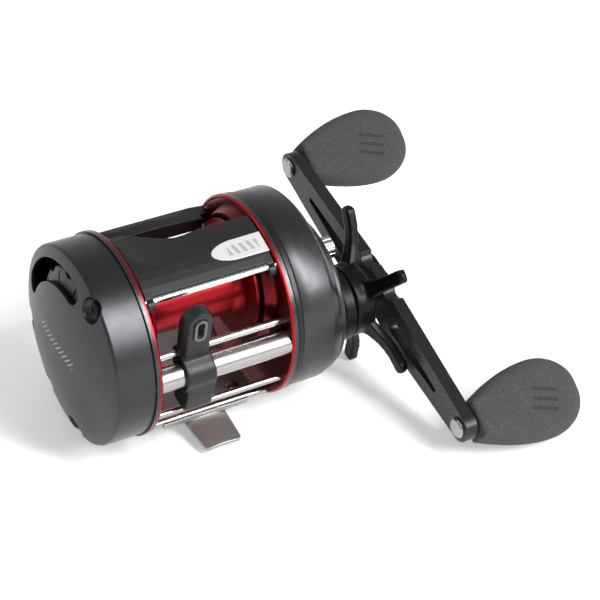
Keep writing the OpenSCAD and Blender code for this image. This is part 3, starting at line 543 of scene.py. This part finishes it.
def even_dome(material):
    """Gives the dome the normals of a sphere, except near its edges and bores."""
    tree = material.node_tree
    bump = tree.nodes["Principled BSDF"].inputs["Normal"].links[0].from_node
    soft = bump.inputs["Normal"].links[0].from_socket
    flat = node(tree, "NewGeometry").outputs["Normal"]
    from_centre = node(tree, "VectorMath", {0: place(tree), 1: DOME_CENTRE}, operation="SUBTRACT").outputs[0]
    even = node(tree, "VectorMath", {0: from_centre}, operation="NORMALIZE").outputs[0]
    far = node(tree, "VectorMath", {0: from_centre}, operation="LENGTH").outputs["Value"]
    same = node(tree, "VectorMath", {0: soft, 1: flat}, operation="DOT_PRODUCT").outputs["Value"]
    on_dome = calc(tree, "COMPARE", far, DOME_R, 0.00015)
    away_from_edges = spread(tree, same, 0.0, 1.0, 0.995, 0.999)
    mixed = node(tree, "Mix", data_type="VECTOR")
    tree.links.new(calc(tree, "MULTIPLY", on_dome, away_from_edges), mixed.inputs[0])
    tree.links.new(soft, mixed.inputs[4])
    tree.links.new(even, mixed.inputs[5])
    tree.links.new(mixed.outputs[1], bump.inputs["Normal"])


even_dome(gunmetal)

# Twill of the carbon handle arm
ARM_ANGLE = math.radians(9.66)
ARM_MIDDLE = (0, -0.0128, 0.0232)
WEAVE = 0.6
PLAIN_MIDDLE = 13.0


def arm_axes(tree):
    """Distances along and across the handle arm from its middle, in millimetres."""
    along = (0, math.cos(ARM_ANGLE), math.sin(ARM_ANGLE))
    across = (0, -math.sin(ARM_ANGLE), math.cos(ARM_ANGLE))
    return flat_axes(tree, along, across, ARM_MIDDLE)


def twill(tree):
    """1 on the raised threads of the arm's broad faces, beyond its plain middle."""
    along, across = arm_axes(tree)
    column = calc(tree, "FLOOR", calc(tree, "DIVIDE", along, WEAVE))
    row = calc(tree, "FLOOR", calc(tree, "DIVIDE", across, WEAVE))
    step = calc(tree, "FLOORED_MODULO", calc(tree, "ADD", column, row), 4.0)
    thread = calc(tree, "LESS_THAN", step, 1.5)
    facing = node(tree, "SeparateXYZ", {0: node(tree, "NewGeometry").outputs["Normal"]}).outputs[0]
    broad = calc(tree, "GREATER_THAN", calc(tree, "ABSOLUTE", facing), 0.8)
    outer = spread(tree, calc(tree, "ABSOLUTE", along), 0.0, 1.0, PLAIN_MIDDLE, PLAIN_MIDDLE + 4)
    return calc(tree, "MULTIPLY", calc(tree, "MULTIPLY", thread, broad), outer)


retint(carbon, lambda tree: calc(tree, "MULTIPLY", twill(tree), 0.6), (0.024, 0.024, 0.026))
emboss(carbon, twill, 0.00001)

# Bars on the badge
BADGE_ANGLE = math.radians(73.3)
BADGE_R = 0.0295
BADGE_MIDDLE = (
    0.0135,
    RING_AXIS[0] - BADGE_R * math.cos(BADGE_ANGLE),
    RING_AXIS[1] + BADGE_R * math.sin(BADGE_ANGLE),
)


def badge_bars(tree):
    up_the_badge = (0, math.sin(BADGE_ANGLE), math.cos(BADGE_ANGLE))
    along, across = flat_axes(tree, (1, 0, 0), up_the_badge, BADGE_MIDDLE)
    return strokes(
        tree, along, across, slant=0.35, pitch=2.4, half_width=0.55, half_length=4.9, half_height=1.5
    )


retint(
    badge_silver, lambda tree: calc(tree, "MULTIPLY", badge_bars(tree), 0.45), (0.16, 0.16, 0.17)
)
emboss(badge_silver, badge_bars, -0.00015)

wear(gunmetal, "palm_plate")
wear(cover_metal, "gear_cover")
wear(red_anodised, "left_ring", "right_ring")
wear(red_spool, "spool")
wear(plate_black, "gear_plate")
wear(satin_black, "palm_plate_screws", "cover_screws", "bearing_housing", "star_drag", "nut_retainer")
wear(carbon, "handle_arm")
wear(moulded_black, "tube_bush", "thumb_rest", "thumb_bar", "brake_dial", "line_guide")
wear(
    stainless, "guide_bar", "worm_tube", "front_bar", "foot_bars", "rear_bar", "foot_rivets",
    "spool_shaft", "drive_pin", "spool_bearings", "pinion_bearing", "clutch_yoke", "clutch_springs",
    "drive_shaft", "ratchet_wheel", "drag_plate", "spring_washers", "anti_reverse_bearing", "pawl_cap",
)
wear(foot_steel, "reel_foot")
wear(chrome, "hood_bar")
wear(knob_chrome, "tension_knob")
wear(rivet_steel, "handle_nut", "knob_spindles")
wear(badge_silver, "badge")
wear(brass, "tension_shim", "pinion", "main_gear", "worm_shaft", "wind_pawl")
wear(nylon, "magnet_carrier", "clutch_cam", "wind_drive_gear", "wind_idler", "worm_gear")
wear(fibre, "drag_washers")
wear(magnet, "brake_rotor", "brake_magnets")
wear(ceramic, "guide_eye")
wear(foam, "back_knob", "front_knob")

# ---- moulded pieces with soft edges ----

soften("star_drag", 0.00036, 5)
soften("line_guide", 0.0003, 4)

# ---- foam grips ----

KNOB_LEAN = math.radians(30)
# How far in each ring of the grip lies from its outline, and how high, in millimetres
GRIP_STEPS = (
    (0.0, 0.0), (0.06, 1.0), (0.25, 1.9), (0.65, 2.7), (1.3, 3.4), (2.1, 3.95), (2.8, 4.3), (3.25, 4.5),
    (3.6, 4.6), (4.4, 4.72), (5.6, 4.86), (7.0, 4.97), (8.4, 5.03),
)


GRIP_WIDEST = 12.45
GRIP_NECK = 5.6
GRIP_FLAT_END = 1.3
GRIP_ROUND_LENGTH = 13.5


def grip_half_width(v, length):
    """Half width of a grip at a distance v from its inner end, in millimetres."""
    round_from = length - GRIP_ROUND_LENGTH
    if v > round_from:
        fall = max(0.0, 1 - ((v - round_from) / GRIP_ROUND_LENGTH) ** 2)
        return GRIP_FLAT_END + (GRIP_WIDEST - GRIP_FLAT_END) * math.sqrt(fall)
    t = v / round_from
    return GRIP_NECK + (GRIP_WIDEST - GRIP_NECK) * math.sin(t ** 0.92 * math.pi / 2)


def grip_outline(length, count=120):
    """Outline of a grip as evenly spaced (u, v) points, in millimetres."""
    side = []
    steps = 400
    for k in range(steps + 1):
        v = length * (1 - math.cos(math.pi * k / steps)) / 2
        side.append((grip_half_width(v, length), v))
    path = side + [(-u, v) for u, v in reversed(side)]
    lengths = [0.0]
    for (u0, v0), (u1, v1) in zip(path, path[1:] + path[:1]):
        lengths.append(lengths[-1] + math.hypot(u1 - u0, v1 - v0))
    total = lengths[-1]
    points = []
    at = 0
    for k in range(count):
        want = total * k / count
        while lengths[at + 1] < want:
            at += 1
        share = (want - lengths[at]) / max(1e-9, lengths[at + 1] - lengths[at])
        (u0, v0), (u1, v1) = path[at], path[(at + 1) % len(path)]
        points.append((u0 + (u1 - u0) * share, v0 + (v1 - v0) * share))
    return points


INSET_FULL_FROM = 15


def inset(points, distance):
    """Points of an outline moved inward, less where the grip is narrow."""
    moved = []
    count = len(points)
    for k, (u, v) in enumerate(points):
        (u0, v0), (u1, v1) = points[k - 2], points[(k + 2) % count]
        along = math.hypot(u1 - u0, v1 - v0)
        room = distance * min(1.0, 0.25 + 0.75 * max(0.0, v) / INSET_FULL_FROM)
        moved.append((u - (v1 - v0) / along * room, v + (u1 - u0) / along * room))
    return moved


def make_grip(name):
    """The foam grip that stands for a knob."""
    low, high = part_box(name)
    length = (high[0] - low[0]) / MM
    hinge = joint_places[name + "_spin"]
    outline = grip_outline(length)
    loops = [(inset(outline, step), height) for step, height in GRIP_STEPS]
    rings = [[(u * MM, v * MM, -h * MM) for u, v in ring] for ring, h in reversed(loops)]
    rings += [[(u * MM, v * MM, h * MM) for u, v in ring] for ring, h in loops[1:]]
    grip = skin(name + "_grip", rings, foam)
    grip.matrix_world = Matrix.Translation((low[0], hinge[1], hinge[2])) @ Matrix(
        (
            (0, 1, 0, 0),
            (math.cos(KNOB_LEAN), 0, math.sin(KNOB_LEAN), 0),
            (math.sin(KNOB_LEAN), 0, -math.cos(KNOB_LEAN), 0),
            (0, 0, 0, 1),
        )
    )
    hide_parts(name)
    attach(grip, name)


# Three bars on the broad side of each grip
GRIP_MARK = (-0.001, 0.024, 0)


def grip_mark(tree):
    along, across = flat_axes(tree, (0.94, 0.34, 0), (-0.34, 0.94, 0), GRIP_MARK)
    return strokes(
        tree, along, across, slant=0.0, pitch=3.0, half_width=0.45, half_length=4.4, half_height=4.2
    )


retint(foam, lambda tree: calc(tree, "MULTIPLY", grip_mark(tree), 0.7), (0.022, 0.021, 0.024))
emboss(foam, grip_mark, -0.0004)

make_grip("back_knob")
make_grip("front_knob")

# ---- gear cover ----

CAP_OFFSET = (-4.0, -1.4)
COVER_R = 30.4
CAP_R = 25.1
BARREL_FROM = 25.2
BARREL_TO = 35.4
CAP_EDGE = 39.3
CAP_FACE = 41.3
COVER_SCREWS = (-8, 112, 290)
COVER_SCREW_R = 27.5


def cover_ring(x, radius, share=0.0):
    """A ring of the cover at x, its middle moved by a share of the cap's offset."""
    return circle(x, radius, (CAP_OFFSET[0] * share * MM, RING_AXIS[1] + CAP_OFFSET[1] * share * MM))


TENSION_BOSS = (
    # x and radius, in millimetres
    (40.4, 2.96), (40.4, 4.9), (41.3, 4.9), (41.45, 4.6), (41.8, 4.4), (43.9, 4.4), (44.15, 4.2),
    (44.2, 4.0), (44.2, 2.7), (47.9, 2.7),
)
DRIVE_BORE_R = 6.0
BEARING_BORE_R = 2.95
COUNTERBORE_R = 2.2
SHAFT_BORE_R = 1.7


def make_cover():
    """The gear cover with its rounded shoulder, and the boss that the tension knob turns on."""
    rings = [
        cover_ring(BARREL_FROM + 0.02, COVER_R - 0.3), cover_ring(BARREL_FROM + 0.1, COVER_R - 0.08),
        cover_ring(BARREL_FROM + 0.3, COVER_R), cover_ring(BARREL_FROM + 4, COVER_R),
        cover_ring(BARREL_TO, COVER_R),
    ]
    steps = 16
    for k in range(1, steps + 1):
        rise = k / steps
        share = rise ** 1.5
        rings.append(
            cover_ring(BARREL_TO + (CAP_EDGE - BARREL_TO) * rise, COVER_R + (CAP_R - COVER_R) * share, share)
        )
    groove = CAP_R - 0.3
    rings += [
        cover_ring(CAP_EDGE - 0.02, groove, 1), cover_ring(CAP_EDGE - 0.35, groove - 0.06, 1),
        cover_ring(CAP_EDGE - 0.35, groove - 0.3, 1), cover_ring(CAP_EDGE, groove - 0.34, 1),
    ]
    for k in range(9):
        turn = math.pi / 2 * k / 8
        rings.append(
            cover_ring(CAP_FACE - 0.9 * (1 - math.sin(turn)), groove - 0.35 - 0.9 * (1 - math.cos(turn)), 1)
        )
    inside = [
        cover_ring(BARREL_FROM + 0.02, COVER_R - 1.4), cover_ring(BARREL_TO - 1.2, COVER_R - 1.4),
        cover_ring(CAP_EDGE - 1.6, CAP_R - 2.2, 1), cover_ring(CAP_FACE - 1.6, CAP_R - 5, 1),
    ]
    cover = skin("handle_side_cover", list(reversed(rings)) + inside, cover_metal)
    bores = [(DRIVE_AXIS, DRIVE_BORE_R, 36, 50), (SPOOL_AXIS, BEARING_BORE_R, 36, 50)]
    for degrees in COVER_SCREWS:
        angle = math.radians(degrees)
        screw_axis = (
            COVER_SCREW_R * MM * math.cos(angle),
            RING_AXIS[1] + COVER_SCREW_R * MM * math.sin(angle),
        )
        bores.append((screw_axis, COUNTERBORE_R, 34, 50))
    carve(cover, bores)
    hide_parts("gear_cover")
    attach(cover, "frame")
    turned = [circle(x, radius, SPOOL_AXIS, 64) for x, radius in TENSION_BOSS]
    boss = skin("tension_boss", turned, cover_metal)
    carve(boss, [(SPOOL_AXIS, SHAFT_BORE_R, 30, 50), (SPOOL_AXIS, BEARING_BORE_R, 30, 42.6)])
    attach(boss, "frame")


make_cover()
